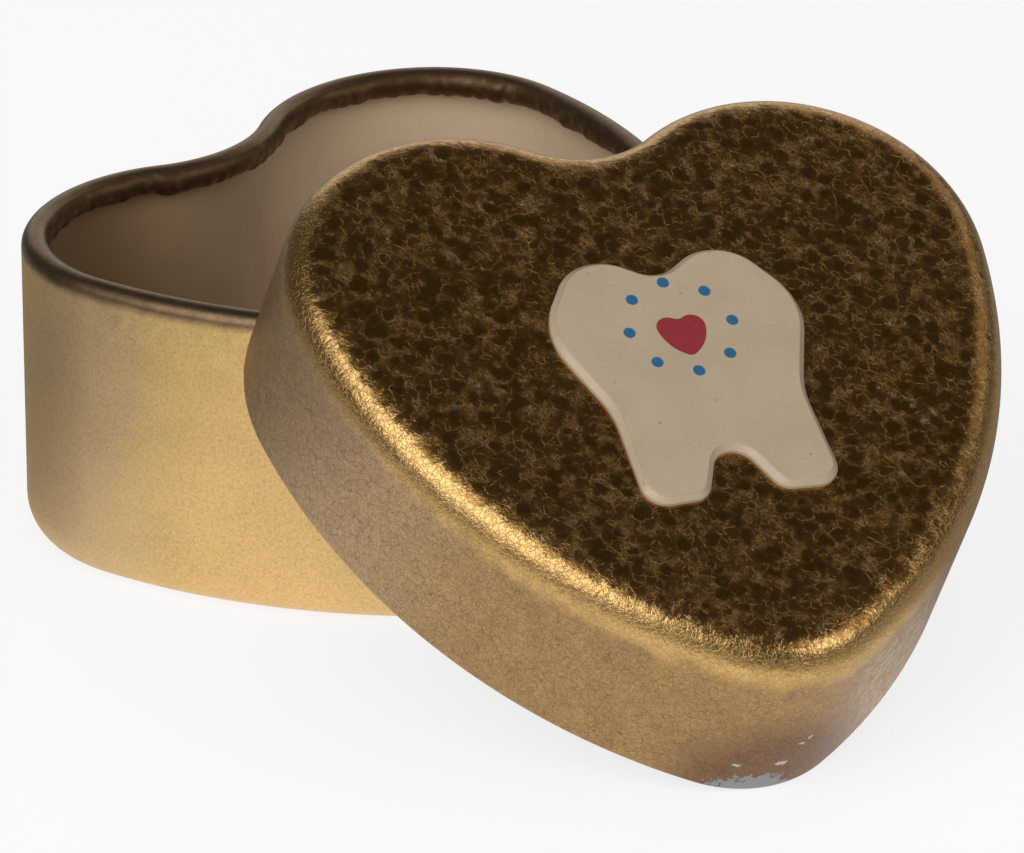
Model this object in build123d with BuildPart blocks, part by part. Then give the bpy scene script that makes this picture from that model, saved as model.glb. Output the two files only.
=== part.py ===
from build123d import *
import math
import os

# A heart-shaped slip-lid keepsake tin, with the lid taken off and leant on the base.
# The base stands on the table at z = 0. X runs across the heart, Y from its tip to its notch,
# and the origin is on the underside, where the line between the two lobes meets the long axis.

# Sheet and heart plan, measured on the outer face of the base's wall
sheet = 0.3
heart_width = 52.0
lobe_radius = 12.6
crown_radius = 13.75
crown_angle = 50.0
flank_radius = 44.2
tip_radius = 8.6
tip_depth = 27.3
notch_radius = 10.8

# Base
base_height = 24.9
base_corner_radius = 3.7
rim_curl_radius = 1.1
rim_curl_turn = 300.0

# Lid
lid_height = 15.7
lid_corner_radius = 3.3
lid_curl_radius = 0.55
lid_curl_turn = 270.0
lid_clearance = 0.5

# Embossed tooth on the lid, its enamel and the printed heart and dots
tooth_width = 18.6
tooth_height = 20.6
tooth_middle = -10.9
emboss_height = 0.6
emboss_bevel = 0.45
enamel_thickness = 0.12
print_thickness = 0.04
printed_heart_width = 3.8
printed_middle = -7.2
dot_ring_radius = 4.1
dot_radius = 0.45
dot_count = 8

# Outline of half the tooth, from the dip between its cusps round to the fork of its roots:
# each point as shares of the width and the height from its middle, then its corner's radius
# as a share of the width
tooth_half_shares = [
    (0.0, 0.4, 0.15),
    (0.3, 0.575, 0.21),
    (0.56, 0.24, 0.3),
    (0.4, -0.14, 0.42),
    (0.415, -0.555, 0.095),
    (0.16, -0.545, 0.08),
    (0.0, -0.235, 0.1),
]

# How the lid leans: a level line through it rests over the base's rim. The line passes through
# one point of the base's plan and one of the lid's, at a bearing in each plan
rim_touch_shares = (-0.0864, -0.4217)
rim_line_bearing = -19.32
skirt_touch_shares = (-0.0992, 0.2313)
skirt_line_bearing = 5.84
touch_rise_share = 0.971
rest_clearance = 0.15
table_clearance = 0.05

straight_down = -90.0
lid_gap = 2 * lid_curl_radius + lid_clearance


def bearing(start, end):
    """Angle in degrees of the line from start to end, from the X axis."""
    return math.degrees(math.atan2(end.Y - start.Y, end.X - start.X))


def towards(angle):
    """Unit vector at an angle in degrees from the X axis."""
    return Vector(math.cos(math.radians(angle)), math.sin(math.radians(angle)))


def inner_touching_centre(first, second, first_reach, second_reach):
    """Centre at given distances from two points, on the left of the line from first to second."""
    span = (second - first).length
    along = (first_reach**2 - second_reach**2 + span**2) / (2 * span)
    line = (second - first).normalized()
    return first + line * along + Vector(-line.Y, line.X) * math.sqrt(first_reach**2 - along**2)


# Centres of the arcs on the heart's right half, which all meet in tangents
tip_centre = Vector(0, -tip_depth)
lobe_centre = Vector(heart_width / 2 - lobe_radius, 0)
crown_centre = lobe_centre + towards(crown_angle) * (lobe_radius - crown_radius)
flank_centre = inner_touching_centre(
    tip_centre, lobe_centre, flank_radius - tip_radius, flank_radius - lobe_radius
)
notch_rise = math.sqrt((crown_radius + notch_radius) ** 2 - crown_centre.X**2)
notch_centre = Vector(0, crown_centre.Y + notch_rise)
flank_start = bearing(flank_centre, tip_centre)
flank_end = bearing(flank_centre, lobe_centre)
crown_end = bearing(crown_centre, notch_centre)
notch_start = bearing(notch_centre, crown_centre)


def heart_face(grow):
    """The filled heart, moved outwards by grow."""
    with BuildSketch() as heart:
        with BuildLine():
            CenterArc(tip_centre, tip_radius + grow, straight_down, flank_start - straight_down)
            CenterArc(flank_centre, flank_radius + grow, flank_start, flank_end - flank_start)
            CenterArc(lobe_centre, lobe_radius + grow, flank_end, crown_angle - flank_end)
            CenterArc(crown_centre, crown_radius + grow, crown_angle, crown_end - crown_angle)
            CenterArc(notch_centre, notch_radius - grow, notch_start, straight_down - notch_start)
            mirror(about=Plane.YZ)
        make_face()
    return heart.sketch


def heart_block(floor, grow, height, corner_radius):
    """A solid heart that stands on the plane floor, with its edge there rounded."""
    with BuildPart() as block:
        with BuildSketch(floor):
            add(heart_face(grow))
        extrude(amount=height)
        floor_edges = block.edges().group_by(Axis(floor.origin, floor.z_dir))[0]
        fillet(floor_edges, radius=corner_radius)
    return block.part


def drawn_tray(floor, grow, height, corner_radius, curl_radius, curl_turn):
    """A heart-shaped tray of sheet: floor, rounded corner, straight wall and inward curl.

    The floor's outer face lies on the plane floor, and the tray opens along its normal.
    """
    wall_height = height - curl_radius
    inner_floor = floor.offset(sheet)
    with BuildPart() as tray:
        add(heart_block(floor, grow, wall_height, corner_radius))
        add(
            heart_block(inner_floor, grow - sheet, wall_height, corner_radius - sheet),
            mode=Mode.SUBTRACT,
        )
        with BuildSketch(floor.offset(wall_height), mode=Mode.PRIVATE) as curl_centres:
            add(heart_face(grow - curl_radius))
        curl_path = curl_centres.sketch.face().outer_wire()
        forwards = curl_path % 0
        outwards = forwards.cross(floor.z_dir)
        if outwards.dot(curl_path @ 0 - floor.origin) < 0:
            forwards, outwards = -forwards, -outwards
        with BuildSketch(Plane(origin=curl_path @ 0, x_dir=outwards, z_dir=forwards)):
            with BuildLine():
                outside = CenterArc((0, 0), curl_radius, 0, curl_turn)
                inside = CenterArc((0, 0), curl_radius - sheet, 0, curl_turn)
                Line(outside @ 0, inside @ 0)
                Line(outside @ 1, inside @ 1)
            make_face()
        sweep(path=curl_path)
    return tray.part


def tooth_block(floor, grow, height):
    """A solid tooth that stands on the plane floor, moved outwards by grow, with its top bevelled."""
    half = [(x * tooth_width, y * tooth_height, r * tooth_width) for x, y, r in tooth_half_shares]
    other_half = [(-x, y, r) for x, y, r in half[-2:0:-1]]
    corners = half + other_half
    with BuildPart() as block:
        with BuildSketch(floor):
            with BuildLine():
                points = [(x, y + tooth_middle) for x, y, r in corners]
                FilletPolyline(*points, radius=[r for x, y, r in corners], close=True)
            make_face()
            if grow:
                offset(amount=grow)
        extrude(amount=height)
        top_edges = block.edges().group_by(Axis(floor.origin, floor.z_dir))[-1]
        chamfer(top_edges, length=emboss_bevel)
    return block.part


# The level line's frame in the base and in the lid, whose own frame has its lower edge at zero
touch_rise = touch_rise_share * (rim_curl_radius + lid_curl_radius + rest_clearance)
rim_point = Vector(
    rim_touch_shares[0] * heart_width,
    rim_touch_shares[1] * heart_width,
    base_height - rim_curl_radius + touch_rise,
)
skirt_point = Vector(
    skirt_touch_shares[0] * heart_width, skirt_touch_shares[1] * heart_width, lid_curl_radius
)
uphill = towards(skirt_line_bearing - straight_down)
tip_reach = tip_radius + lid_gap - lid_curl_radius
slope_length = (skirt_point - tip_centre).dot(uphill) + tip_reach
drop = rim_point.Z - lid_curl_radius - table_clearance
lean = math.degrees(math.asin(drop / slope_length))
rim_line = Location(rim_point, (0, 0, rim_line_bearing)) * Location((0, 0, 0), (lean, 0, 0))
skirt_line = Location(skirt_point, (0, 0, skirt_line_bearing))
lid_edge = Plane(rim_line * skirt_line.inverse())
lid_top = lid_edge.offset(lid_height)
lid_floor = Plane(origin=lid_top.origin, x_dir=-lid_top.x_dir, z_dir=-lid_top.z_dir)
enamel_top = lid_top.offset(emboss_height + enamel_thickness)

os.makedirs("parts", exist_ok=True)

with BuildPart() as base_shell:
    add(
        drawn_tray(
            Plane.XY, 0, base_height, base_corner_radius, rim_curl_radius, rim_curl_turn
        )
    )
base_shell.part.label = "base_shell"
export_step(base_shell.part, "parts/base_shell.step")

with BuildPart() as lid_shell:
    add(
        drawn_tray(
            lid_floor, lid_gap, lid_height, lid_corner_radius, lid_curl_radius, lid_curl_turn
        )
    )
    add(tooth_block(lid_top, 0, emboss_height))
    add(tooth_block(lid_top.offset(-sheet), -sheet, emboss_height), mode=Mode.SUBTRACT)
lid_shell.part.label = "lid_shell"
export_step(lid_shell.part, "parts/lid_shell.step")

with BuildPart() as tooth_enamel:
    add(tooth_block(lid_top, enamel_thickness, emboss_height + enamel_thickness))
    add(tooth_block(lid_top, 0, emboss_height), mode=Mode.SUBTRACT)
tooth_enamel.part.label = "tooth_enamel"
export_step(tooth_enamel.part, "parts/tooth_enamel.step")

with BuildPart() as printed_heart:
    with BuildSketch(enamel_top):
        with Locations((0, printed_middle)):
            add(scale(heart_face(0), by=printed_heart_width / heart_width, mode=Mode.PRIVATE))
    extrude(amount=print_thickness)
printed_heart.part.label = "printed_heart"
export_step(printed_heart.part, "parts/printed_heart.step")

with BuildPart() as printed_dots:
    with BuildSketch(enamel_top):
        with Locations((0, printed_middle)):
            with PolarLocations(dot_ring_radius, dot_count):
                Circle(dot_radius)
    extrude(amount=print_thickness)
printed_dots.part.label = "printed_dots"
export_step(printed_dots.part, "parts/printed_dots.step")

print("lid edge plane", lid_edge.origin, lid_edge.x_dir, lid_edge.z_dir)
print("lean", lean)
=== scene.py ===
"""A heart-shaped keepsake tin in satin gold, with its crackled lid leant on the open base."""

import math

import bmesh
import bpy
from bpy.props import FloatProperty, FloatVectorProperty, PointerProperty
from mathutils import Matrix, Vector, noise


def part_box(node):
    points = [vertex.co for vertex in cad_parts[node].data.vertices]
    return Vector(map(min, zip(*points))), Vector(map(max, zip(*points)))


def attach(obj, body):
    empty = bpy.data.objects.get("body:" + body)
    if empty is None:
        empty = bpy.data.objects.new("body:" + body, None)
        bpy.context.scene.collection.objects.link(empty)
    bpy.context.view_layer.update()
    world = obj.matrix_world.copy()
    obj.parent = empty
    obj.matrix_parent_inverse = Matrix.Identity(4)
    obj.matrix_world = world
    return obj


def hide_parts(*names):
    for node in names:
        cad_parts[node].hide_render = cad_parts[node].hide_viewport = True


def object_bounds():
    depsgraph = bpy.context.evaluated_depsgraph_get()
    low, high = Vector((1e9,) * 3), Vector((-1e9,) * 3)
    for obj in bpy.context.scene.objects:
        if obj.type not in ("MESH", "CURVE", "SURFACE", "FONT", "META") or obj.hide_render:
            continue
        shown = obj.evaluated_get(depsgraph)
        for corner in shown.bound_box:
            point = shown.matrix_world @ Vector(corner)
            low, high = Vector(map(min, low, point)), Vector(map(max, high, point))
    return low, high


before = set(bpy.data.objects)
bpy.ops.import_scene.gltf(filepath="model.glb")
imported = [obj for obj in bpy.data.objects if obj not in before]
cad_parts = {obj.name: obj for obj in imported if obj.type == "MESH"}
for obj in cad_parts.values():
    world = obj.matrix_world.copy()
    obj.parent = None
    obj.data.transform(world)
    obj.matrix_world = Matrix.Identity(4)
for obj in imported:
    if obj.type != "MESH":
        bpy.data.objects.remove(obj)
cad_low, cad_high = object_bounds()
base_low, base_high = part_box("base_shell")

bl_info = {
    "name": "Heart keepsake tin",
    "version": (1, 0, 0),
    "blender": (4, 5, 0),
    "location": "3D View > Sidebar > Tin",
    "description": "Builds a heart-shaped tin, its leaning lid and the studio around it",
    "category": "Add Mesh",
}

MM = 0.001
DOWN = -math.pi / 2
PHOTO_WIDTH_PIXELS = 1024


def length(name, description, millimetres):
    """A length that a user may change, written in millimetres and kept in metres."""
    return FloatProperty(
        name=name, description=description, default=millimetres * MM, unit="LENGTH", precision=5
    )


def angle(name, description, degrees):
    """An angle that a user may change, written in degrees and kept in radians."""
    return FloatProperty(
        name=name, description=description, default=math.radians(degrees), unit="ROTATION"
    )


def share(name, description, value):
    """A share of another size."""
    return FloatProperty(name=name, description=description, default=value, subtype="FACTOR")


def colour(name, description, *parts):
    """A colour that a user may change, written as its red, green and blue."""
    return FloatVectorProperty(
        name=name, description=description, default=parts, subtype="COLOR", min=0, max=1
    )


class TinSizes(bpy.types.PropertyGroup):
    """Sizes of the tin, as it is pressed from sheet."""

    sheet: length("Sheet", "Thickness of the tinplate", 0.3)
    heart_width: length(
        "Heart width", "Width of the base across its lobes", (base_high.x - base_low.x) / MM
    )
    lobe_radius: length("Lobe radius", "Outer side of each lobe, seen from above", 12.6)
    crown_radius: length("Crown radius", "Top of each lobe, seen from above", 13.75)
    crown_angle: angle("Crown angle", "Where a lobe's side turns into its top", 50)
    flank_radius: length("Flank radius", "Long side of the heart, seen from above", 44.2)
    tip_radius: length("Tip radius", "Point of the heart, seen from above", 8.6)
    tip_depth: length("Tip depth", "From the lobes' centres to the tip's centre", 27.3)
    notch_radius: length("Notch radius", "Hollow between the lobes, seen from above", 10.8)
    base_height: length("Base height", "Height of the base over its rolled rim", base_high.z / MM)
    base_corner: length("Base corner", "Radius of the base's lower edge", 3.7)
    rim_curl: length("Rim curl", "Outer radius of the base's rolled rim", 1.1)
    rim_turn: angle("Rim turn", "How far the base's rim is rolled in", 300)
    crease_depth: length("Crease depth", "Creases where the rolled sheet was squeezed", 0.36)
    crease_start: angle("Crease start", "Where in the roll the creases begin", 125)
    lid_height: length("Lid height", "Depth of the lid", 15.7)
    lid_corner: length("Lid corner", "Radius of the lid's upper edge", 3.3)
    lid_curl: length("Lid curl", "Outer radius of the lid's rolled lower edge", 0.55)
    lid_turn: angle("Lid turn", "How far the lid's lower edge is rolled in", 270)
    lid_clearance: length("Lid clearance", "Play between the lid's edge and the base", 0.5)
    step: length("Mesh step", "Distance between points round the lid", 0.4)
    fine_step: length("Fine mesh step", "The same round the base and the enamel", 0.2)

    @property
    def lid_gap(self):
        """How far the lid's skirt stands out from the base's wall."""
        return 2 * self.lid_curl + self.lid_clearance


class LidRest(bpy.types.PropertyGroup):
    """How the lid leans on the rim, by a level line through a point of each plan."""

    rim_x: share("Rim point across", "Point over the base, as a share of its width", -0.0864)
    rim_y: share("Rim point along", "Point over the base, as a share of its width", -0.4217)
    rim_bearing: angle("Rim line", "Bearing of the level line in the base's plan", -19.32)
    skirt_x: share("Skirt point across", "Point in the lid, as a share of its width", -0.0992)
    skirt_y: share("Skirt point along", "Point in the lid, as a share of its width", 0.2313)
    skirt_bearing: angle("Skirt line", "Bearing of the level line in the lid's plan", 5.84)
    rise: share("Touch rise", "Rise of the lid's curl over the rim's, where they pass", 0.971)
    rim_gap: length("Rim gap", "Air between the lid's edge and the rim", 0.15)
    table_gap: length("Table gap", "Air between the lid's tip and the table", 0.05)


class ToothSizes(bpy.types.PropertyGroup):
    """The embossed tooth and its enamel."""

    width: length("Width", "Width of the tooth's half outline, doubled", 18.6)
    height: length("Height", "Height that the outline's shares refer to", 20.6)
    middle: length("Middle", "Place of the tooth along the lid", -10.9)
    emboss: length("Emboss", "How far the tooth stands out of the lid", 0.6)
    bevel: length("Bevel", "Width of the sloped edge round the tooth", 0.45)
    enamel: length("Enamel", "Thickness of the enamel", 0.12)
    ease: length("Ease", "Softness of the enamel's edges", 0.13)


class TinColours(bpy.types.PropertyGroup):
    """Colours of the lacquers, the enamel and the bare metal."""

    base_gold: colour("Base gold", "Satin gold lacquer", 0.88, 0.58, 0.235)
    # Rim bronze is painted dark reflection over the rolled rim, and it also darkens the base's
    # grain
    grain_and_rim_shade: colour("Rim bronze", "Lacquer over the rolled rim", 0.32, 0.215, 0.12)
    # Rolled edge is painted shade inside the rolls
    rolled: colour("Rolled edge", "Lacquer inside a roll", 0.13, 0.075, 0.035)
    lid_gold: colour("Lid gold", "Lacquer on the lid's rounded edge", 0.76, 0.475, 0.18)
    # Lid skirt is painted shade: a darker copy of the lid's gold for its downward side
    lid_side_shade: colour("Lid skirt", "Lacquer down the lid's side", 0.46, 0.275, 0.113)
    # Lid dark is a painted dark reflection over the lid's top
    lid_dark_reflection: colour("Lid dark", "Smooth cells on the lid's top", 0.40, 0.21, 0.06)
    # Lid fold is a painted highlight on the folds, lighter than the painted dark top
    lid_lit_fold: colour("Lid fold", "Folds between the cells", 0.52, 0.33, 0.16)
    # Lid glint is a painted glint on small plates of the lid's top
    painted_glint: colour("Lid glint", "Small plates that shine between the folds", 0.70, 0.50, 0.28)
    crack: colour("Crack", "Fine lines in the lacquer", 0.10, 0.055, 0.02)
    lining: colour("Lining", "Lacquer inside", 0.62, 0.475, 0.32)
    # Tarnish is painted shade over the inside's left
    lining_shade: colour("Tarnish", "Lacquer inside the left lobe", 0.215, 0.13, 0.063)
    bare_tin: colour("Bare tin", "Worn metal", 0.27, 0.27, 0.28)
    # Streak is a painted grey reflection, on the lid's right flank and the base's far left
    grey_reflection: colour("Streak", "Dull foil on the lid's right flank", 0.66, 0.54, 0.46)
    primer: colour("Primer", "Round the worn metal", 0.16, 0.08, 0.045)
    nick: colour("Nick", "Bruised lacquer on the rim", 0.10, 0.10, 0.13)
    chip: colour("Chip", "Pale chips", 0.50, 0.46, 0.42)
    enamel: colour("Enamel", "Tooth", 0.40, 0.315, 0.215)
    red: colour("Red", "Printed heart", 0.25, 0.02, 0.03)
    blue: colour("Blue", "Printed dots", 0.015, 0.11, 0.23)


class StudioSizes(bpy.types.PropertyGroup):
    """The studio: where the camera stands, and how wide the floor is."""

    azimuth: angle("Azimuth", "Camera's turn round the tin", -47.211)
    elevation: angle("Elevation", "Camera's angle over the table", 24.175)
    roll: angle("Roll", "Camera's tilt about its own line of sight", 0.439)
    distance: length("Distance", "From the camera to the base, along its line of sight", 982.1)
    aside: length("Aside", "How far right of the base the camera points", 15.112)
    above: length("Above", "How far above the base's foot the camera points", 3.742)
    focal_pixels: FloatProperty(
        name="Focal length", description="In widths of a pixel", default=12797
    )
    floor_radius: length("Floor radius", "Half the width of the floor", 3000)


def towards(angle_about_z):
    """Unit vector in the plan at an angle from the X axis."""
    return Vector((math.cos(angle_about_z), math.sin(angle_about_z)))


def bearing(start, end):
    """Angle of the line from start to end, from the X axis."""
    return math.atan2(end.y - start.y, end.x - start.x)


def touching_centre(first, second, first_reach, second_reach):
    """Centre at given distances from two points, on the left of the line between them."""
    span = (second - first).length
    along = (first_reach**2 - second_reach**2 + span**2) / (2 * span)
    line = (second - first).normalized()
    return first + line * along + Vector((-line.y, line.x)) * math.sqrt(first_reach**2 - along**2)


# Fewest straight pieces for an arc of a plan
FEWEST_STEPS = 4


class HeartPlan:
    """The heart seen from above: arcs that meet in tangents, so an offset keeps their centres."""

    def __init__(self, sizes, step):
        lobe = Vector((sizes.heart_width / 2 - sizes.lobe_radius, 0))
        crown = lobe + towards(sizes.crown_angle) * (sizes.lobe_radius - sizes.crown_radius)
        tip = Vector((0, -sizes.tip_depth))
        tip_reach = sizes.flank_radius - sizes.tip_radius
        lobe_reach = sizes.flank_radius - sizes.lobe_radius
        flank = touching_centre(tip, lobe, tip_reach, lobe_reach)
        notch_rise = math.sqrt((sizes.crown_radius + sizes.notch_radius) ** 2 - crown.x**2)
        notch = Vector((0, crown.y + notch_rise))
        flank_start, flank_end = bearing(flank, tip), bearing(flank, lobe)
        self.step = step
        self.arcs = [
            (tip, sizes.tip_radius, 1, DOWN, flank_start),
            (flank, sizes.flank_radius, 1, flank_start, flank_end),
            (lobe, sizes.lobe_radius, 1, flank_end, sizes.crown_angle),
            (crown, sizes.crown_radius, 1, sizes.crown_angle, bearing(crown, notch)),
            (notch, sizes.notch_radius, -1, bearing(notch, crown), DOWN),
        ]

    def ring(self, grow):
        """Points round the heart from its tip, moved outwards by grow."""
        right = []
        for centre, radius, side, start, end in self.arcs:
            turn = end - start
            count = max(FEWEST_STEPS, math.ceil(radius * abs(turn) / self.step))
            reach = radius + side * grow
            right += [centre + towards(start + turn * i / count) * reach for i in range(count)]
        centre, radius, side, start, end = self.arcs[-1]
        right.append(centre + towards(end) * (radius + side * grow))
        left = [Vector((-point.x, point.y)) for point in right[-2:0:-1]]
        return right + left


# Outline of half the tooth, from the dip between its cusps round to the fork of its roots:
# each point as shares of the width and the height, then its corner's radius as one of the width
TOOTH_HALF_SHARES = [
    (0.0, 0.4, 0.15),
    (0.3, 0.575, 0.21),
    (0.56, 0.24, 0.3),
    (0.4, -0.14, 0.42),
    (0.415, -0.555, 0.095),
    (0.16, -0.545, 0.08),
    (0.0, -0.235, 0.1),
]


class ToothPlan:
    """The tooth seen from above: a polygon with rounded corners, whose arcs keep their centres."""

    def __init__(self, tooth, step):
        half = [
            (x * tooth.width, y * tooth.height, r * tooth.width) for x, y, r in TOOTH_HALF_SHARES
        ]
        corners = half + [(-x, y, r) for x, y, r in half[-2:0:-1]]
        self.arcs = []
        for i, (x, y, radius) in enumerate(corners):
            point = Vector((x, y))
            before = Vector(corners[i - 1][:2]) - point
            after = Vector(corners[(i + 1) % len(corners)][:2]) - point
            half_angle = before.angle(after) / 2
            inward = (before.normalized() + after.normalized()).normalized()
            centre = point + inward * (radius / math.sin(half_angle)) + Vector((0, tooth.middle))
            convex = 1 if before.cross(after) > 0 else -1
            middle = bearing(Vector((0, 0)), -inward)
            sweep = (math.pi / 2 - half_angle) * convex
            count = max(FEWEST_STEPS, math.ceil(2 * abs(sweep) * radius / step))
            self.arcs.append((centre, radius, convex, middle, sweep, count))

    def ring(self, grow):
        """Points round the tooth, clockwise, moved outwards by grow."""
        points = []
        for centre, radius, convex, middle, sweep, count in self.arcs:
            for i in range(count + 1):
                turn = middle + sweep * (1 - 2 * i / count)
                points.append(centre + towards(turn) * (radius + convex * grow))
        return points


# Edges that bend by more than this stay sharp: on the pressed shells, and on the enamel
SHELL_SHARP_ANGLE = math.radians(38)
ENAMEL_SHARP_ANGLE = math.radians(50)


class Shell:
    """A mesh made of rings that follow one another, each strip with its own finish."""

    def __init__(self):
        self.mesh = bmesh.new()

    def add_ring(self, points, level):
        """A ring of vertices at one level."""
        return self.add_points([(point.x, point.y, level) for point in points])

    def add_points(self, points):
        """A ring of vertices."""
        return [self.mesh.verts.new(point) for point in points]

    def join(self, first, second, finish):
        """A strip of faces between two rings of as many points."""
        for i in range(len(first)):
            near = (first[i - 1], first[i], second[i], second[i - 1])
            self.mesh.faces.new(near).material_index = finish

    def close(self, ring, finish):
        """One flat face inside a ring."""
        self.mesh.faces.new(ring).material_index = finish

    def skin(self, rings, finish):
        """Strips between rings that follow one another, and a face inside the last."""
        for first, second in zip(rings, rings[1:]):
            self.join(first, second, finish)
        self.close(rings[-1], finish)

    def fill_between(self, outer, inner, finish):
        """Flat faces between a ring and a smaller ring of another shape inside it."""
        edges = []
        for ring in (outer, inner):
            for i in range(len(ring)):
                edge = self.mesh.edges.get((ring[i - 1], ring[i]))
                edges.append(edge or self.mesh.edges.new((ring[i - 1], ring[i])))
        filled = bmesh.ops.triangle_fill(self.mesh, use_beauty=True, edges=edges)
        for item in filled["geom"]:
            if isinstance(item, bmesh.types.BMFace):
                item.material_index = finish

    def finish(self, name, materials, rest=Matrix(), sharp_angle=SHELL_SHARP_ANGLE):
        """Turn the rings into an object of the scene, with its mesh put where it rests."""
        bmesh.ops.recalc_face_normals(self.mesh, faces=self.mesh.faces)
        bmesh.ops.transform(self.mesh, matrix=rest, verts=self.mesh.verts)
        data = bpy.data.meshes.new(name)
        self.mesh.to_mesh(data)
        self.mesh.free()
        for material in materials:
            data.materials.append(material)
        data.polygons.foreach_set("use_smooth", [True] * len(data.polygons))
        data.set_sharp_from_angle(angle=sharp_angle)
        piece = bpy.data.objects.new(name, data)
        bpy.context.scene.collection.objects.link(piece)
        return piece


def arc_points(centre, radius, start, end, steps):
    """Points (grow, level) on an arc of a section."""
    grow, level = centre
    turns = [start + (end - start) * i / steps for i in range(steps + 1)]
    return [(grow + radius * math.cos(turn), level + radius * math.sin(turn)) for turn in turns]


# Straight pieces for each arc of a tray's section, and how far round a roll its outside reaches
OUTER_CORNER_STEPS = 14
OUTER_ROLL_STEPS = 12
UNDER_ROLL_STEPS = 15
INNER_ROLL_STEPS = 20
INNER_CORNER_STEPS = 12
OUTSIDE_TURN = math.radians(130)


def tray_section(sheet, height, corner, curl, turn):
    """Strips of (grow, level) round a drawn tray, from its floor outside to its floor inside."""
    floor_edge = -corner - 2 * sheet
    bend = (-corner, corner)
    roll = (-curl, height - curl)
    outside = [(floor_edge, 0)]
    outside += arc_points(bend, corner, DOWN, 0, OUTER_CORNER_STEPS)
    outside += arc_points(roll, curl, 0, OUTSIDE_TURN, OUTER_ROLL_STEPS)
    rolled = arc_points(roll, curl, OUTSIDE_TURN, turn, UNDER_ROLL_STEPS)
    inside = arc_points(roll, curl - sheet, turn, 0, INNER_ROLL_STEPS)
    edge = [rolled[-1], inside[0]]
    inside += arc_points(bend, corner - sheet, 0, DOWN, INNER_CORNER_STEPS)
    inside += [(floor_edge, sheet)]
    return outside, rolled, edge, inside


# Places of a tray's four finishes in its list of materials
OUTSIDE, ROLLED, BARE, INSIDE = 0, 1, 2, 3

# Waves in the squeezed rim: features to a millimetre, strength, and shift of the noise; then what
# is taken off so that the sharp ones go both ways, and the turn over which creases grow
BROAD_WAVES = (0.32, 0.7, 0)
SHARP_WAVES = (0.85, 1.3, 7)
FINE_WAVES = (2.3, 0.06, 3)
SHARP_MEAN = 0.3
CREASE_GROWTH = math.radians(100)


class Creases:
    """Creases in a rolled rim, which grow towards the edge that was squeezed in."""

    def __init__(self, plan, sizes):
        self.curl = sizes.rim_curl
        self.middle = sizes.base_height - sizes.rim_curl
        self.start = sizes.crease_start
        self.depth = sizes.crease_depth
        self.spine = plan.ring(-sizes.rim_curl)
        self.waves = [self.wave(point.to_3d() / MM) for point in self.spine]

    def wave(self, place):
        """How far the sheet is creased at a place, between about -1 and 1."""
        broad, sharp, fine = (
            noise.noise(place * scale + Vector((0, 0, shift))) * strength
            for scale, strength, shift in (BROAD_WAVES, SHARP_WAVES, FINE_WAVES)
        )
        return broad + abs(sharp) - SHARP_MEAN + fine

    def apply(self, points, out, level):
        """Move a ring's points to or from the middle of the roll."""
        turn = math.atan2(level - self.middle, out + self.curl) % (2 * math.pi)
        growth = min(max((turn - self.start) / CREASE_GROWTH, 0), 1)
        if level < self.middle - self.curl or not growth:
            return points
        moved = []
        for point, spine, wave in zip(points, self.spine, self.waves):
            middle = Vector((spine.x, spine.y, self.middle))
            reach = Vector(point) - middle
            moved.append(middle + reach * (1 + growth * self.depth * wave / self.curl))
        return moved


def build_tray(shell, plan, grow, section, creases=None):
    """Rings for each strip of a tray's section; returns its first and last rings."""
    last = None
    first = None
    for finish, strip in zip((OUTSIDE, ROLLED, BARE, INSIDE), section):
        for out, level in strip if last is None else strip[1:]:
            points = [(point.x, point.y, level) for point in plan.ring(grow + out)]
            if creases:
                points = creases.apply(points, out, level)
            ring = shell.add_points(points)
            if last is None:
                first = ring
            else:
                shell.join(last, ring, finish)
            last = ring
    return first, last


def lid_matrix(sizes, rest):
    """Place of the lid's own frame, whose origin is level with its lower edge."""
    width = sizes.heart_width
    rise = rest.rise * (sizes.rim_curl + sizes.lid_curl + rest.rim_gap)
    rim_point = Vector(
        (rest.rim_x * width, rest.rim_y * width, sizes.base_height - sizes.rim_curl + rise)
    )
    skirt_point = Vector((rest.skirt_x * width, rest.skirt_y * width, sizes.lid_curl))
    uphill = towards(rest.skirt_bearing + math.pi / 2)
    tip = Vector((0, -sizes.tip_depth))
    tip_reach = sizes.tip_radius + sizes.lid_gap - sizes.lid_curl
    slope_length = (skirt_point.xy - tip).dot(uphill) + tip_reach
    drop = rim_point.z - sizes.lid_curl - rest.table_gap
    lean = math.asin(drop / slope_length)
    rim_line = (
        Matrix.Translation(rim_point)
        @ Matrix.Rotation(rest.rim_bearing, 4, "Z")
        @ Matrix.Rotation(lean, 4, "X")
    )
    skirt_line = Matrix.Translation(skirt_point) @ Matrix.Rotation(rest.skirt_bearing, 4, "Z")
    return rim_line @ skirt_line.inverted()


class Signal:
    """What comes out of a node, written so that shader maths reads as plain sums."""

    def __init__(self, finish, socket):
        self.finish = finish
        self.socket = socket

    def math(self, operation, *others):
        """A Math node with this as its first value."""
        return self.finish.math(operation, self, *others)

    def __add__(self, other):
        return self.finish.math("ADD", self, other)

    def __radd__(self, other):
        return self.finish.math("ADD", other, self)

    def __sub__(self, other):
        return self.finish.math("SUBTRACT", self, other)

    def __rsub__(self, other):
        return self.finish.math("SUBTRACT", other, self)

    def __mul__(self, other):
        return self.finish.math("MULTIPLY", self, other)

    def __rmul__(self, other):
        return self.finish.math("MULTIPLY", other, self)

    def __truediv__(self, other):
        return self.finish.math("DIVIDE", self, other)

    def __rtruediv__(self, other):
        return self.finish.math("DIVIDE", other, self)

    def __neg__(self):
        return self.finish.math("MULTIPLY", self, -1.0)

    def between(self, low, high):
        """Rises smoothly from 0 at low to 1 at high."""
        return self.finish.node(
            "ShaderNodeMapRange",
            {"interpolation_type": "SMOOTHSTEP"},
            {"Value": self, "From Min": low, "From Max": high},
        )


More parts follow.
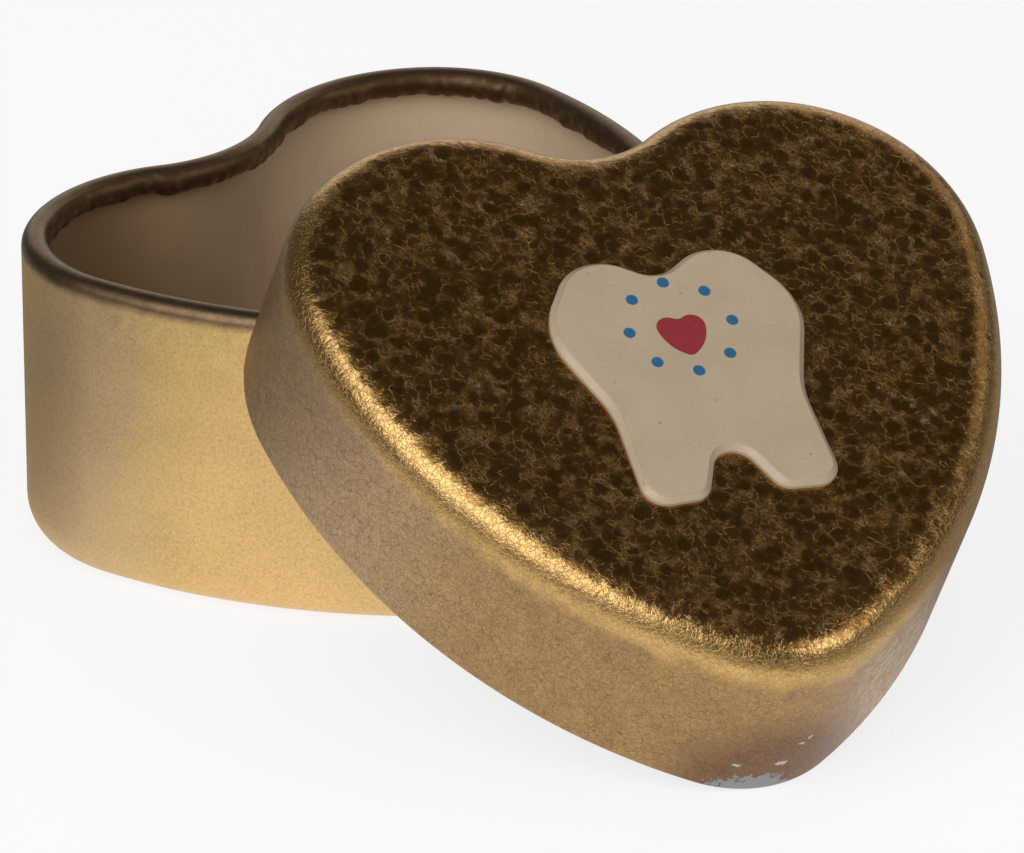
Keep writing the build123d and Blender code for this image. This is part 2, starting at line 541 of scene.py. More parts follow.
class Finish:
    """A node tree while it is built, for a material or for the world."""

    def __init__(self, owner):
        owner.use_nodes = True
        self.owner = owner
        self.tree = owner.node_tree
        self.tree.nodes.clear()

    def node(self, kind, settings=None, inputs=None, output=0):
        """Add a node: its settings first, then the values or links of its sockets."""
        made = self.tree.nodes.new(kind)
        for name, value in (settings or {}).items():
            setattr(made, name, value)
        for key, value in (inputs or {}).items():
            socket = made.inputs[key]
            if isinstance(value, Signal):
                self.tree.links.new(value.socket, socket)
            elif socket.type == "RGBA":
                socket.default_value = (*value[:3], 1)
            else:
                socket.default_value = value
        return Signal(self, made.outputs[output]) if len(made.outputs) else made

    def math(self, operation, *values):
        """A Math node."""
        return self.node("ShaderNodeMath", {"operation": operation}, dict(enumerate(values)))

    def vector(self, operation, *values, output=0):
        """A Vector Math node."""
        return self.node(
            "ShaderNodeVectorMath", {"operation": operation}, dict(enumerate(values)), output
        )

    def mix(self, factor, first, second):
        """A Mix node for colours, whose sockets go by number because other kinds share names."""
        inputs = {0: factor, 6: first, 7: second}
        return self.node(
            "ShaderNodeMix", {"data_type": "RGBA", "clamp_result": True}, inputs, output=2
        )

    def millimetres(self, rest=Matrix()):
        """Place on the piece in millimetres, seen from the frame that rests at a matrix."""
        inputs = {
            "Vector": self.node("ShaderNodeTexCoord", output="Object"),
            "Location": rest.translation,
            "Rotation": rest.to_euler(),
            "Scale": (MM, MM, MM),
        }
        return self.node("ShaderNodeMapping", {"vector_type": "TEXTURE"}, inputs)

    def bend(self, place, scale, reach):
        """A place moved about by noise, by up to reach millimetres."""
        waves = self.node("ShaderNodeTexNoise", None, {"Vector": place, "Scale": scale}, "Color")
        centred = self.vector("SUBTRACT", waves, (0.5, 0.5, 0.5))
        moved = self.node(
            "ShaderNodeVectorMath", {"operation": "SCALE"}, {0: centred, "Scale": 2 * reach}
        )
        return self.vector("ADD", place, moved)

    def noise(self, place, scale, detail=2.0, roughness=0.5):
        """Noise from 0 to 1, with scale features to a millimetre."""
        inputs = {"Vector": place, "Scale": scale, "Detail": detail, "Roughness": roughness}
        return self.node("ShaderNodeTexNoise", None, inputs)

    def cells(self, place, scale, feature="F1", output=0):
        """Distance to a cell's middle or, as DISTANCE_TO_EDGE, to its border; or its Color."""
        return self.node(
            "ShaderNodeTexVoronoi", {"feature": feature}, {"Vector": place, "Scale": scale}, output
        )

    def ray(self, kind):
        """1 where a ray of one kind looks, and 0 elsewhere."""
        return self.node("ShaderNodeLightPath", output=kind)

    def part(self, place, axis):
        """One coordinate of a place."""
        return self.node("ShaderNodeSeparateXYZ", None, {0: place}, "XYZ".index(axis))

    def bump(self, height, depth):
        """A normal from a height, where 1 stands for a depth in millimetres."""
        inputs = {"Height": height, "Distance": depth * MM, "Strength": 1.0}
        return self.node("ShaderNodeBump", None, inputs)

    def surface(self, inputs):
        """The Principled shader on the material's output."""
        shader = self.node("ShaderNodeBsdfPrincipled", None, inputs)
        self.node("ShaderNodeOutputMaterial", None, {"Surface": shader})
        return self.owner


def new_finish(name):
    """An empty material."""
    return Finish(bpy.data.materials.new(name))


def toned(paint, amount):
    """A colour made darker or lighter."""
    return [min(part * amount, 1) for part in paint]


# Bands down the base's wall, in millimetres from the top of its rim: where the rim's bronze, a
# painted dark reflection, ends and how far that line wavers, and where the band of painted
# highlight under it starts and ends
RIM_SHADE_END = (0.75, 1.5)
RIM_SHADE_WAVER = 0.6
HIGHLIGHT_BAND_START = (1.0, 1.6)
HIGHLIGHT_BAND_END = (2.0, 6.0)

# Painted duller reflection over the base's far left, in millimetres from its middle
DULL_REFLECTION_LEFT = (24.0, 26.5)

# Nicks in the rolled rim, in millimetres: places across and along the base, radii, and how far
# their middles lie below the top of the rim
DARK_NICKS = ((-5.3, 7.1), (-0.3, 7.1), (0.6, 6.7), (-22.2, 6.3))
PALE_NICKS = ((15.5, 9.8), (3.5, 8.4))
DARK_NICK_RADIUS = 0.34
PALE_NICK_RADIUS = 0.2
NICK_DROP = 0.2


def satin_gold(colours, sizes):
    """Outside of the base: satin gold lacquer with a fine grain, bronze painted over the rim as its
    dark reflection, a band of painted highlight under the rim, and a painted duller reflection at
    the far left.
    """
    coat = new_finish("satin_gold")
    place = coat.millimetres()
    top = sizes.base_height / MM
    depth = top - coat.part(place, "Z")
    grain = coat.noise(place, scale=4.6, detail=4.0, roughness=0.7)
    cloud = coat.noise(place, scale=0.16)
    mottle = coat.noise(place, scale=0.55, detail=3.0, roughness=0.6)
    speck = (1 - coat.cells(place, scale=1.7).between(0.05, 0.13)) * cloud.between(0.45, 0.6)
    rim = 1 - (depth + (mottle - 0.5) * RIM_SHADE_WAVER).between(*RIM_SHADE_END)
    below = depth.between(*HIGHLIGHT_BAND_START) * (1 - depth.between(*HIGHLIGHT_BAND_END))
    light = toned(colours.base_gold, 1.2)
    gold = coat.mix(cloud.between(0.3, 0.7), colours.base_gold, toned(colours.base_gold, 0.9))
    # Painted highlight: lighter gold in the band under the rim
    gold = coat.mix(below * mottle.between(0.35, 0.6) * 0.5, gold, light)
    gold = coat.mix((1 - grain.between(0.34, 0.55)) * 0.3, gold, colours.grain_and_rim_shade)
    gold = coat.mix(grain.between(0.5, 0.68) * 0.4, gold, light)
    gold = coat.mix(speck * 0.5, gold, colours.crack)
    # Painted duller reflection: greyer gold at the base's far left
    gold = coat.mix((-coat.part(place, "X")).between(*DULL_REFLECTION_LEFT) * 0.3, gold, colours.grey_reflection)
    # Painted dark reflection: bronze over the rim in place of the gold
    tone = coat.mix(rim, gold, painted_rim_shade_tone(coat, place, colours))
    torn = coat.bend(place, scale=1.6, reach=0.35)
    for nicks, radius, paint in (
        (DARK_NICKS, DARK_NICK_RADIUS, colours.nick),
        (PALE_NICKS, PALE_NICK_RADIUS, colours.chip),
    ):
        for x, y in nicks:
            away = coat.vector("DISTANCE", torn, (x, y, top - NICK_DROP), output="Value")
            tone = coat.mix((1 - away.between(radius * 0.6, radius)) * 0.8, tone, paint)
    relief = grain * 0.5 - speck * 0.3 + mottle * (0.3 + below * 1.4)
    return coat.surface(
        {
            "Base Color": tone,
            "Metallic": 1.0,
            "Roughness": 0.37 + grain * 0.12 - rim * 0.04,
            "Normal": coat.bump(relief, depth=0.045),
        }
    )


def painted_rim_shade_tone(coat, place, colours):
    """Mottled bronze painted over a roll as its dark reflection, with darker grain."""
    mottle = coat.noise(place, scale=0.7, detail=3.0, roughness=0.6)
    grain = coat.noise(place, scale=4.0, detail=3.0, roughness=0.65)
    dark = toned(colours.grain_and_rim_shade, 0.78)
    tone = coat.mix(mottle.between(0.3, 0.7), colours.grain_and_rim_shade, dark)
    return coat.mix(grain.between(0.4, 0.7) * 0.25, tone, colours.crack)


def rolled_painted_shade(colours):
    """Painted shade round the inside of a rolled edge: dark, reddish brown and creased."""
    coat = new_finish("rolled_painted_shade")
    place = coat.millimetres()
    grain = coat.noise(place, scale=3.0, detail=3.0, roughness=0.65)
    rub = coat.noise(place, scale=0.9, detail=3.0, roughness=0.6)
    # Painted shade inside the roll, lighter in random patches
    tone = coat.mix(rub.between(0.45, 0.75) * 0.5, colours.rolled, colours.grain_and_rim_shade)
    return coat.surface(
        {
            "Base Color": tone,
            "Metallic": 0.9,
            "Roughness": 0.42 + grain * 0.15,
            "Normal": coat.bump(grain * 0.5 + rub, depth=0.03),
        }
    )


# Bands down the lid, in millimetres from its top: where the flat top and the rounded edge end,
# where the side's finish in painted shade starts, and where the streaks of painted reflection on it
# start
FLAT_TOP_END = (0.15, 0.65)
ROUNDING_END = (2.4, 5.2)
SIDE_START = (1.4, 4.0)
REFLECTION_STREAKS_START = (2.5, 5.5)

# Places on the lid, in millimetres: the painted reflection streaks' start across it and their end
# along it, its left where a painted grey reflection lies, and how far forward its worn tip starts
REFLECTION_STREAKS_ACROSS = (3.0, 9.0)
REFLECTION_STREAKS_ALONG = (-14.0, -4.0)
GREY_REFLECTION_LEFT = (18.0, 27.0)
TIP_START = (30.0, 34.5)

# Half ovals that stand on the lid's lower edge at its tip, round the bare metal and round its
# primer: middle across the lid, half width and height in millimetres
WORN_OVAL = (-1.0, 3.9, 2.4)
PRIMED_OVAL = (0.6, 8.0, 8.5)

# Chips over the worn tip, in millimetres: places across the lid and above its lower edge, and
# radii across; then how many times as wide as high they are
CHIPS = ((-2.8, 3.2, 0.45), (0.7, 3.2, 0.5), (1.8, 5.2, 0.3), (2.5, 5.7, 0.24))
CHIP_SQUASH = 2


class LidLacquer:
    """Gold lacquer outside the lid: shrunk on top, crumpled at the edge, cracked on the side; with
    painted dark reflection, highlights and glints on top, and painted shade and reflections down
    the side.
    """

    def __init__(self, colours, sizes, rest):
        coat = new_finish("crackle_gold")
        place = coat.millimetres(rest)
        self.colours = colours
        self.coat = coat
        self.place = place
        self.across = coat.part(place, "X")
        self.along = coat.part(place, "Y")
        self.level = coat.part(place, "Z")
        self.mottle = coat.noise(place, scale=0.5, detail=3.0, roughness=0.6)
        self.grain = coat.noise(place, scale=4.0, detail=4.0, roughness=0.7)
        self.bent = coat.bend(place, scale=1.0, reach=0.55)
        self.tight = coat.bend(place, scale=2.4, reach=0.35)
        self.small = 1 - coat.cells(self.tight, 2.4, "DISTANCE_TO_EDGE").between(0.012, 0.1)
        self.depth = sizes.lid_height / MM - self.level
        piece = coat.part(coat.cells(self.bent, scale=1.7, output="Color"), "X") - 0.5
        ragged = self.depth + (self.mottle - 0.5) * 0.8 + piece * 0.4
        self.flat_top = 1 - ragged.between(*FLAT_TOP_END)
        self.side = (self.depth + (self.mottle - 0.5) * 2.2).between(*SIDE_START)
        self.rounding = (1 - self.flat_top) * (1 - self.depth.between(*ROUNDING_END))

    def shrunk_top(self):
        """Colour of the flat top, painted with its dark reflection, highlights on its folds and
        glints on the small plates between them; and its folds and plates.
        """
        coat, colours = self.coat, self.colours
        cell = 1 - coat.cells(self.bent, scale=0.7).between(0.26, 0.5)
        broken = coat.noise(self.place, scale=2.0, detail=3.0, roughness=0.65).between(0.38, 0.6)
        web = (1 - coat.cells(self.bent, 1.15, "DISTANCE_TO_EDGE").between(0.01, 0.075)) * broken
        crowd = coat.noise(self.place, scale=0.75).between(0.4, 0.68)
        tangle = coat.noise(self.tight, scale=2.6, detail=3.0, roughness=0.65)
        strand = 1 - (tangle - 0.5).math("ABSOLUTE").between(0.004, 0.03)
        folds = web.math("MAXIMUM", self.small * crowd * 0.7)
        folds = folds.math("MAXIMUM", strand * crowd * 0.3) * (1 - cell * 0.8)
        scattered = coat.part(coat.cells(self.tight, scale=2.3, output="Color"), "X")
        plates = scattered.between(0.88, 0.93) * crowd * (1 - cell)
        shrunk = crowd * tangle.between(0.35, 0.6)
        # Painted dark reflection over the flat top: lighter where the lacquer shrank, darker in the
        # smooth cells
        tone = coat.mix(shrunk, colours.lid_dark_reflection, toned(colours.lid_dark_reflection, 1.45))
        tone = coat.mix(cell, tone, toned(colours.lid_dark_reflection, 0.76))
        # Painted highlight: folds painted lighter, as they catch the lamps
        tone = coat.mix(folds * 0.6, tone, colours.lid_lit_fold)
        # Painted glints on the small plates
        tone = coat.mix(plates * 0.75, tone, colours.painted_glint)
        return tone, folds, plates

    def cracked_side(self):
        """Colour of the lid's side, in painted shade with painted grey reflections, and its fine
        cracks.
        """
        coat, colours, place, grain = self.coat, self.colours, self.place, self.grain
        net = coat.cells(coat.bend(place, scale=2.0, reach=0.3), 1.05, "DISTANCE_TO_EDGE")
        crack = (1 - net.between(0.004, 0.034)) * coat.noise(place, scale=0.8).between(0.3, 0.5)
        dark = toned(colours.lid_side_shade, 0.88)
        # Painted shade: the side takes a darker copy of the lid's gold
        tone = coat.mix(self.mottle.between(0.35, 0.65), colours.lid_side_shade, dark)
        # Painted grey reflection over the left of the lid's side
        tone = coat.mix((-self.across).between(*GREY_REFLECTION_LEFT) * 0.3, tone, colours.lining)
        tone = coat.mix(grain.between(0.5, 0.75) * 0.4, tone, colours.lid_gold)
        tone = coat.mix((1 - grain.between(0.34, 0.52)) * 0.4, tone, colours.crack)
        tone = coat.mix(self.small * grain.between(0.4, 0.55) * 0.5, tone, colours.crack)
        front = 1 - self.along.between(*REFLECTION_STREAKS_ALONG)
        flank = self.across.between(*REFLECTION_STREAKS_ACROSS) * self.depth.between(*REFLECTION_STREAKS_START) * front
        wavered = coat.bend(place, scale=0.9, reach=0.5)
        grey_reflection = coat.noise(wavered, scale=1.4, detail=3.0, roughness=0.7).between(0.48, 0.58)
        # Painted reflection: pale grey streaks on the right flank
        tone = coat.mix(flank * grey_reflection * 0.45, tone, colours.grey_reflection)
        return coat.mix(crack * 0.5, tone, colours.crack), crack

    def oval(self, middle, half_width, height):
        """How far out a place lies from an oval's middle, which is 1 on the oval."""
        wide = (self.across - middle) / half_width
        high = self.level / height
        return (wide * wide + high * high).math("SQRT")

    def worn_tip(self, tone):
        """A colour with primer, bare metal and chips over it at the tip, and the bare metal."""
        coat, colours = self.coat, self.colours
        tip = (-self.along).between(*TIP_START)
        ragged = (coat.noise(self.place, scale=1.7, detail=4.0, roughness=0.75) - 0.5) * 1.8
        spread = self.oval(*PRIMED_OVAL) + ragged * 0.2
        primed = (1 - spread.between(0.6, 1.2)) * tip * (0.6 + self.grain.between(0.42, 0.54) * 0.4)
        worn = (1 - (self.oval(*WORN_OVAL) + ragged).between(0.72, 0.8)) * tip
        tone = coat.mix(primed * 0.9, tone, colours.primer)
        tone = coat.mix(worn, tone, colours.bare_tin)
        torn = coat.bend(self.place, scale=2.5, reach=0.35)
        flat = coat.vector("MULTIPLY", torn, (1, 0, CHIP_SQUASH))
        chips = 0
        for x, z, radius in CHIPS:
            away = coat.vector("DISTANCE", flat, (x, 0, CHIP_SQUASH * z), output="Value")
            chips += (1 - away.between(radius * 0.7, radius)) * tip
        return coat.mix(chips, tone, colours.chip), worn

    def material(self):
        """The whole finish, from the colours and the reliefs of its zones."""
        coat, colours, side = self.coat, self.colours, self.side
        top_tone, folds, plates = self.shrunk_top()
        side_tone, crack = self.cracked_side()
        # The rounded edge: lid gold, with the small crackle lines in painted dark reflection
        edge_tone = coat.mix(self.small * 0.34, colours.lid_gold, colours.lid_dark_reflection)
        tone = coat.mix(side, coat.mix(self.flat_top, edge_tone, top_tone), side_tone)
        tone, worn = self.worn_tip(tone)
        crumple = coat.noise(self.tight, scale=0.95, detail=3.0, roughness=0.6)
        foil = (folds * 0.75 + plates * 0.7) * self.flat_top
        foil += (self.small * 0.5 + crumple * 4.6 + folds * 0.2) * self.rounding
        grained = self.grain * (0.35 + self.rounding * 0.5)
        relief = foil + grained - crack * side * 0.5 - worn + self.mottle * 0.5
        return coat.surface(
            {
                "Base Color": tone,
                "Metallic": 1.0 - folds * self.flat_top * 0.12 - side * 0.1 - worn * 0.5,
                "Roughness": 0.24 + side * 0.18,
                "Normal": coat.bump(relief, depth=0.017),
            }
        )


# Where the lining turns from painted shade on the left to its own colour on the right, in
# millimetres across: the two ends, how much further per millimetre along the base, and how far the
# change wavers
LINING_SHADE_ENDS = (-12.0, 25.0)
LINING_SHADE_SLANT = 0.1
LINING_SHADE_WAVER = 10


def lining(colours):
    """Inside of the tin: satin cream lacquer, with painted shade over its left."""
    coat = new_finish("cream_lining")
    place = coat.millimetres()
    speck = coat.noise(place, scale=3.4, detail=3.0, roughness=0.7)
    cloud = coat.noise(place, scale=0.09)
    slanted = coat.part(place, "X") + coat.part(place, "Y") * LINING_SHADE_SLANT
    unshaded = (slanted + (cloud - 0.5) * LINING_SHADE_WAVER).between(*LINING_SHADE_ENDS)
    # Painted shade: darker lining on the left, its own colour on the right
    tone = coat.mix(unshaded, colours.lining_shade, colours.lining)
    tone = coat.mix(speck.between(0.45, 0.8) * 0.12, tone, colours.primer)
    return coat.surface(
        {
            "Base Color": tone,
            "Roughness": 0.4 + speck * 0.1,
            "Coat Weight": 0.25,
            "Normal": coat.bump(speck, depth=0.006),
        }
    )


def bare_tin(colours):
    """Cut edges of the sheet."""
    coat = new_finish("cut_tin")
    burr = coat.noise(coat.millimetres(), scale=2.5, detail=3.0)
    return coat.surface(
        {
            "Base Color": coat.mix(burr, colours.bare_tin, colours.primer),
            "Metallic": 0.8,
            "Roughness": 0.45,
            "Normal": coat.bump(burr, depth=0.02),
        }
    )


# Rubbed line round the top of the enamel's slope, in millimetres down: its start and its end
RUBBED_START = (0.004, 0.03)
RUBBED_END = (0.05, 0.1)


def enamel_finish(colours, sizes, tooth, rest):
    """Cream enamel of the tooth, thin and dark along the top of its sloped edge."""
    coat = new_finish("cream_enamel")
    place = coat.millimetres(rest)
    depth = (sizes.lid_height + tooth.emboss + tooth.enamel) / MM - coat.part(place, "Z")
    speck = coat.noise(place, scale=3.5, detail=3.0, roughness=0.7)
    cloud = coat.noise(place, scale=0.25)
    dust = coat.cells(place, scale=0.62)
    dot = (1 - dust.between(0.05, 0.1)) * speck.between(0.5, 0.6)
    rubbed = depth.between(*RUBBED_START) * (1 - depth.between(*RUBBED_END))
    tone = coat.mix(cloud.between(0.3, 0.7), colours.enamel, toned(colours.enamel, 0.93))
    tone = coat.mix(speck.between(0.4, 0.75) * 0.12, tone, colours.lining)
    tone = coat.mix(rubbed * speck.between(0.35, 0.6) * 0.35, tone, colours.crack)
    tone = coat.mix(dot * 0.6, tone, colours.crack)
    return coat.surface(
        {
            "Base Color": tone,
            "Roughness": 0.38,
            "Coat Weight": 0.25,
            "Normal": coat.bump(speck, depth=0.008),
        }
    )


def print_finish(name, ink):
    """Printed colour, a little grainy."""
    coat = new_finish(name)
    grain = coat.noise(coat.millimetres(), scale=6.0)
    return coat.surface(
        {
            "Base Color": coat.mix(grain.between(0.3, 0.8), ink, toned(ink, 0.75)),
            "Roughness": 0.5,
            "Normal": coat.bump(grain, depth=0.006),
        }
    )


class MakeBase(bpy.types.Operator):
    """Make the base: a drawn heart-shaped tray with its rim rolled in"""

    bl_idname = "tin.base"
    bl_label = "Base"

    def execute(self, context):
        scene = context.scene
        sizes, colours = scene.tin_sizes, scene.tin_colours
        plan = HeartPlan(sizes, sizes.fine_step)
        shell = Shell()
        section = tray_section(
            sizes.sheet, sizes.base_height, sizes.base_corner, sizes.rim_curl, sizes.rim_turn
        )
        first, last = build_tray(shell, plan, 0, section, Creases(plan, sizes))
        shell.close(first, OUTSIDE)
        shell.close(last, INSIDE)
        gold = satin_gold(colours, sizes)
        materials = [gold, rolled_painted_shade(colours), bare_tin(colours), lining(colours)]
        piece = shell.finish("base_tin", materials)
        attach(piece, "base")
        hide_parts("base_shell")
        return {"FINISHED"}


class MakeLid(bpy.types.Operator):
    """Make the lid: a drawn heart-shaped tray, upside down, with a tooth embossed in its top"""

    bl_idname = "tin.lid"
    bl_label = "Lid"

    def execute(self, context):
        scene = context.scene
        sizes, tooth, colours = scene.tin_sizes, scene.tin_tooth, scene.tin_colours
        rest = lid_matrix(sizes, scene.tin_rest)
        plan = HeartPlan(sizes, sizes.step)
        tooth_plan = ToothPlan(tooth, sizes.step)
        shell = Shell()
        section = tray_section(
            sizes.sheet, sizes.lid_height, sizes.lid_corner, sizes.lid_curl, sizes.lid_turn
        )
        first, last = build_tray(shell, plan, sizes.lid_gap, section)
        for rim, level, shrink, finish in (
            (first, 0, 0, OUTSIDE),
            (last, sizes.sheet, sizes.sheet, INSIDE),
        ):
            foot = shell.add_ring(tooth_plan.ring(-shrink), level)
            shell.fill_between(rim, foot, finish)
            wall = shell.add_ring(tooth_plan.ring(-shrink), level - tooth.emboss + tooth.bevel)
            brow = shell.add_ring(tooth_plan.ring(-shrink - tooth.bevel), level - tooth.emboss)
            shell.skin([foot, wall, brow], finish)
        upside_down = Matrix.Translation((0, 0, sizes.lid_height)) @ Matrix.Scale(-1, 4, (0, 0, 1))
        crackle = LidLacquer(colours, sizes, rest).material()
        materials = [crackle, rolled_painted_shade(colours), bare_tin(colours), lining(colours)]
        piece = shell.finish("lid_tin", materials, rest @ upside_down)
        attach(piece, "lid")
        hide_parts("lid_shell")
        return {"FINISHED"}


# Slope of the enamel's edge, and straight pieces for its eased edges, below and above the slope
ENAMEL_SLOPE = math.pi / 4
LOW_EASE_STEPS = 4
TOP_EASE_STEPS = 5


class MakeTooth(bpy.types.Operator):
    """Make the tooth's enamel, over the embossed pad"""

    bl_idname = "tin.tooth"
    bl_label = "Tooth enamel"

    def execute(self, context):
        scene = context.scene
        sizes, tooth, colours = scene.tin_sizes, scene.tin_tooth, scene.tin_colours
        rest = lid_matrix(sizes, scene.tin_rest)
        plan = ToothPlan(tooth, sizes.fine_step)
        shell = Shell()
        full = tooth.emboss + tooth.enamel
        out, ease = tooth.enamel, tooth.ease
        cut = ease * math.tan(ENAMEL_SLOPE / 2)
        low_middle = (out - ease, full - tooth.bevel - cut)
        top_middle = (out - tooth.bevel - cut, full - ease)
        section = [(out, 0)]
        section += arc_points(low_middle, ease, 0, ENAMEL_SLOPE, LOW_EASE_STEPS)
        section += arc_points(top_middle, ease, ENAMEL_SLOPE, -DOWN, TOP_EASE_STEPS)
        section += [(top_middle[0] - ease, full)]
        rings = [shell.add_ring(plan.ring(grow), level) for grow, level in section]
        shell.skin(rings, OUTSIDE)
        under = [(0, 0), (0, tooth.emboss - tooth.bevel), (-tooth.bevel, tooth.emboss)]
        lower = [rings[0]] + [shell.add_ring(plan.ring(grow), level) for grow, level in under]
        shell.skin(lower, OUTSIDE)
        materials = [enamel_finish(colours, sizes, tooth, rest)]
        on_top = rest @ Matrix.Translation((0, 0, sizes.lid_height))
        piece = shell.finish("tooth_enamel_coat", materials, on_top, ENAMEL_SHARP_ANGLE)
        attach(piece, "lid")
        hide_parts("tooth_enamel")
        return {"FINISHED"}


class MakePrints(bpy.types.Operator):
    """Give the printed heart and its ring of dots their inks"""

    bl_idname = "tin.prints"
    bl_label = "Printed heart and dots"

    def execute(self, context):
        colours = context.scene.tin_colours
        for node, ink in (("printed_heart", colours.red), ("printed_dots", colours.blue)):
            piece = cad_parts[node]
            piece.data.materials.clear()
            piece.data.materials.append(print_finish(node + "_ink", ink))
        return {"FINISHED"}


# Lamps: name, direction from the tin, distance, width and height in metres, power in watts, and
# whether metal shows the lamp
LAMPS = (
    ("left_soft_box", (-0.75, -0.12, 0.53), 1.0, 1.0, 0.78, 4.4, True),
    ("front_soft_box", (0.3, -0.93, 0.48), 1.0, 0.5, 0.4, 1.4, True),
    ("right_soft_box", (0.8, 0.0, 0.52), 1.2, 1.1, 0.42, 0.75, True),
    ("back_soft_box", (0.72, 0.7, 0.32), 1.2, 1.0, 0.7, 1.5, True),
    ("overhead", (0.2, 0.1, 1.0), 1.2, 1.4, 1.4, 3.4, False),
    ("fill", (-0.75, -0.5, 0.5), 1.2, 1.4, 1.4, 12.0, False),
)


def make_lamp(name, direction, distance, width, height, power, shown):
    """A rectangular lamp that faces the tin."""
    lamp = bpy.data.lights.new(name, "AREA")
    lamp.shape = "RECTANGLE"
    lamp.size = width
    lamp.size_y = height
    lamp.energy = power
    holder = bpy.data.objects.new(name, lamp)
    bpy.context.scene.collection.objects.link(holder)
    outward = Vector(direction).normalized()
    holder.location = (cad_low + cad_high) / 2 + outward * distance
    holder.rotation_mode = "QUATERNION"
    holder.rotation_quaternion = outward.to_track_quat("Z", "Y")
    holder.visible_glossy = shown


# Metal sees the floor white to the tin's left and in front, and dim elsewhere: where it starts
# and ends to dim, in millimetres along, across, and away from the middle of the white pool
DIM_BEHIND = (-14.0, 30.0)
DIM_BESIDE = (-5.0, 27.0)
DIM_AWAY = (44.0, 88.0)
POOL_MIDDLE = (-35.0, -30.0, 0.0)

FLOOR_SIDES = 96
WHITE = (1.0, 1.0, 1.0)
BLACK = (0.0, 0.0, 0.0)
MATT_WHITE = (0.95, 0.95, 0.95)
SURROUNDINGS = (0.07, 0.067, 0.063)


def pale_floor():
    """White floor that shows the tin's shadow, and isn't there when seen from beneath."""
    coat = new_finish("pale_floor")
    glossy = coat.ray("Is Glossy Ray")
    seen = coat.ray("Is Camera Ray").math("MAXIMUM", glossy)
    seen = seen.math("MAXIMUM", coat.ray("Is Transmission Ray"))
    place = coat.millimetres()
    behind = coat.part(place, "Y").between(*DIM_BEHIND)
    beside = coat.part(place, "X").between(*DIM_BESIDE)
    away = coat.vector("DISTANCE", place, POOL_MIDDLE, output="Value").between(*DIM_AWAY)
    dim = behind.math("MAXIMUM", beside).math("MAXIMUM", away) * glossy * 0.85
    matt = coat.node("ShaderNodeBsdfDiffuse", None, {"Color": MATT_WHITE})
    glow = {"Color": coat.mix(dim, WHITE, BLACK), "Strength": 1.0}
    white = coat.node("ShaderNodeEmission", None, glow)
    shown = coat.node("ShaderNodeMixShader", None, {0: seen * 0.8, 1: matt, 2: white})
    clear = coat.node("ShaderNodeBsdfTransparent")
    beneath = coat.node("ShaderNodeNewGeometry", output="Backfacing")
    both = coat.node("ShaderNodeMixShader", None, {0: beneath, 1: shown, 2: clear})
    coat.node("ShaderNodeOutputMaterial", None, {"Surface": both})
    return coat.owner


def make_floor(studio):
    """A wide round floor under the tin."""
    mesh = bmesh.new()
    bmesh.ops.create_circle(mesh, cap_ends=True, segments=FLOOR_SIDES, radius=studio.floor_radius)
    data = bpy.data.meshes.new("floor")
    mesh.to_mesh(data)
    mesh.free()
    data.materials.append(pale_floor())
    floor = bpy.data.objects.new("floor", data)
    bpy.context.scene.collection.objects.link(floor)


def make_world(scene):
    """White surroundings for the camera, and dim ones for the tin."""
    world = bpy.data.worlds.new("studio")
    scene.world = world
    sky = Finish(world)
    glow = {"Color": sky.mix(sky.ray("Is Camera Ray"), SURROUNDINGS, WHITE), "Strength": 1.0}
    background = sky.node("ShaderNodeBackground", None, glow)
    sky.node("ShaderNodeOutputWorld", None, {"Surface": background})


# Width of the film in millimetres, and the nearest and farthest that it sees in metres
FILM_WIDTH = 36
NEAREST = 0.01
FARTHEST = 100


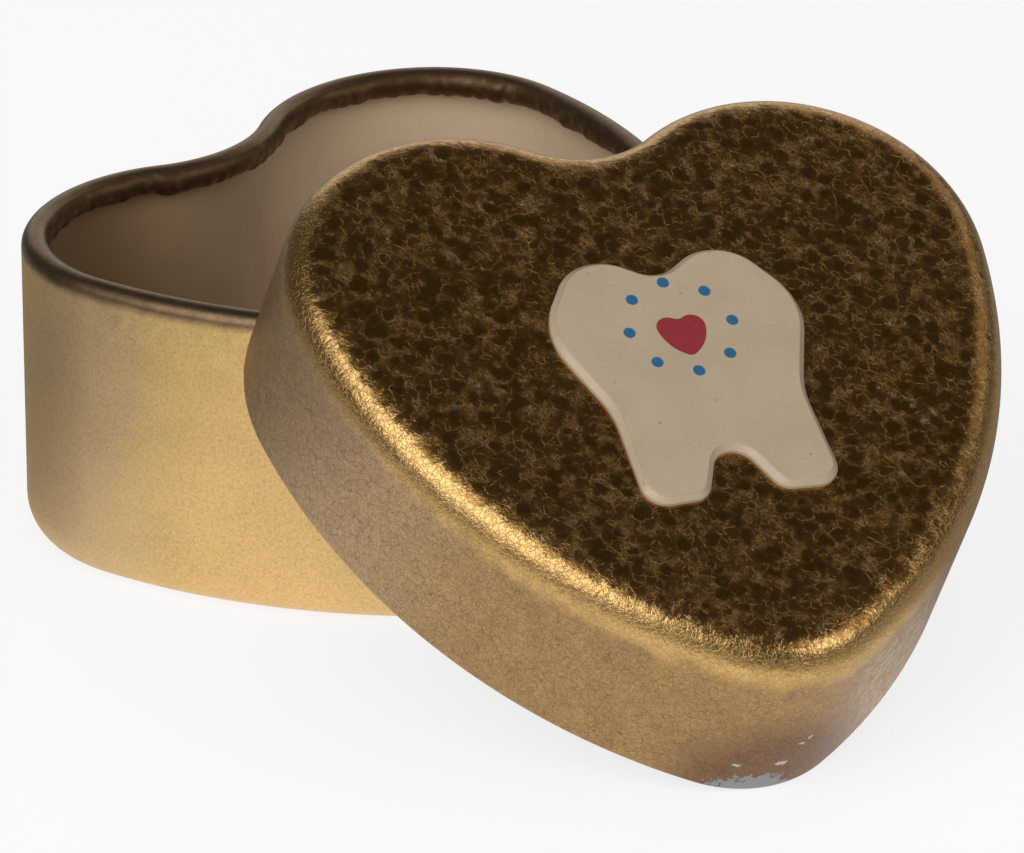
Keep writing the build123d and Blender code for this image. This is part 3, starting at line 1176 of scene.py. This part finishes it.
def make_camera(scene, studio):
    """The camera, turned and raised round the tin as the studio's angles say."""
    data = bpy.data.cameras.new("camera")
    data.sensor_width = FILM_WIDTH
    data.lens = studio.focal_pixels / PHOTO_WIDTH_PIXELS * FILM_WIDTH
    data.clip_start = NEAREST
    data.clip_end = FARTHEST
    camera = bpy.data.objects.new("camera", data)
    scene.collection.objects.link(camera)
    turn, rise = studio.azimuth, studio.elevation
    right = Vector((math.cos(turn), math.sin(turn), 0))
    back = Vector(
        (math.sin(turn) * math.cos(rise), -math.cos(turn) * math.cos(rise), math.sin(rise))
    )
    level = Matrix((right, back.cross(right), back)).transposed()
    axes = level @ Matrix.Rotation(-studio.roll, 3, "Z")
    camera.matrix_world = axes.to_4x4()
    camera.location = axes @ Vector((studio.aside, studio.above, studio.distance))
    scene.camera = camera


class MakeStage(bpy.types.Operator):
    """Make the floor, the studio's light and the camera"""

    bl_idname = "tin.stage"
    bl_label = "Stage"

    def execute(self, context):
        scene = context.scene
        make_floor(scene.tin_studio)
        make_world(scene)
        for lamp in LAMPS:
            make_lamp(*lamp)
        make_camera(scene, scene.tin_studio)
        scene.view_settings.view_transform = "Standard"
        return {"FINISHED"}


class TinPanel(bpy.types.Panel):
    """The pieces of the tin, each with a button that makes it"""

    bl_idname = "VIEW3D_PT_keepsake_tin"
    bl_label = "Heart keepsake tin"
    bl_space_type = "VIEW_3D"
    bl_region_type = "UI"
    bl_category = "Tin"

    def draw(self, context):
        for operator in OPERATORS:
            self.layout.operator(operator.bl_idname)


GROUPS = {
    "tin_sizes": TinSizes,
    "tin_rest": LidRest,
    "tin_tooth": ToothSizes,
    "tin_colours": TinColours,
    "tin_studio": StudioSizes,
}
OPERATORS = (MakeBase, MakeLid, MakeTooth, MakePrints, MakeStage)


def register():
    """Make the classes and the scene's groups of properties known."""
    for group in GROUPS.values():
        bpy.utils.register_class(group)
    for operator in OPERATORS:
        bpy.utils.register_class(operator)
    bpy.utils.register_class(TinPanel)
    for name, group in GROUPS.items():
        setattr(bpy.types.Scene, name, PointerProperty(type=group))


def unregister():
    """Take back what register made known."""
    for name in GROUPS:
        delattr(bpy.types.Scene, name)
    bpy.utils.unregister_class(TinPanel)
    for operator in reversed(OPERATORS):
        bpy.utils.unregister_class(operator)
    for group in GROUPS.values():
        bpy.utils.unregister_class(group)


def main():
    """Make every piece and the stage."""
    register()
    bpy.ops.tin.base()
    bpy.ops.tin.lid()
    bpy.ops.tin.tooth()
    bpy.ops.tin.prints()
    bpy.ops.tin.stage()


if __name__ == "__main__":
    main()
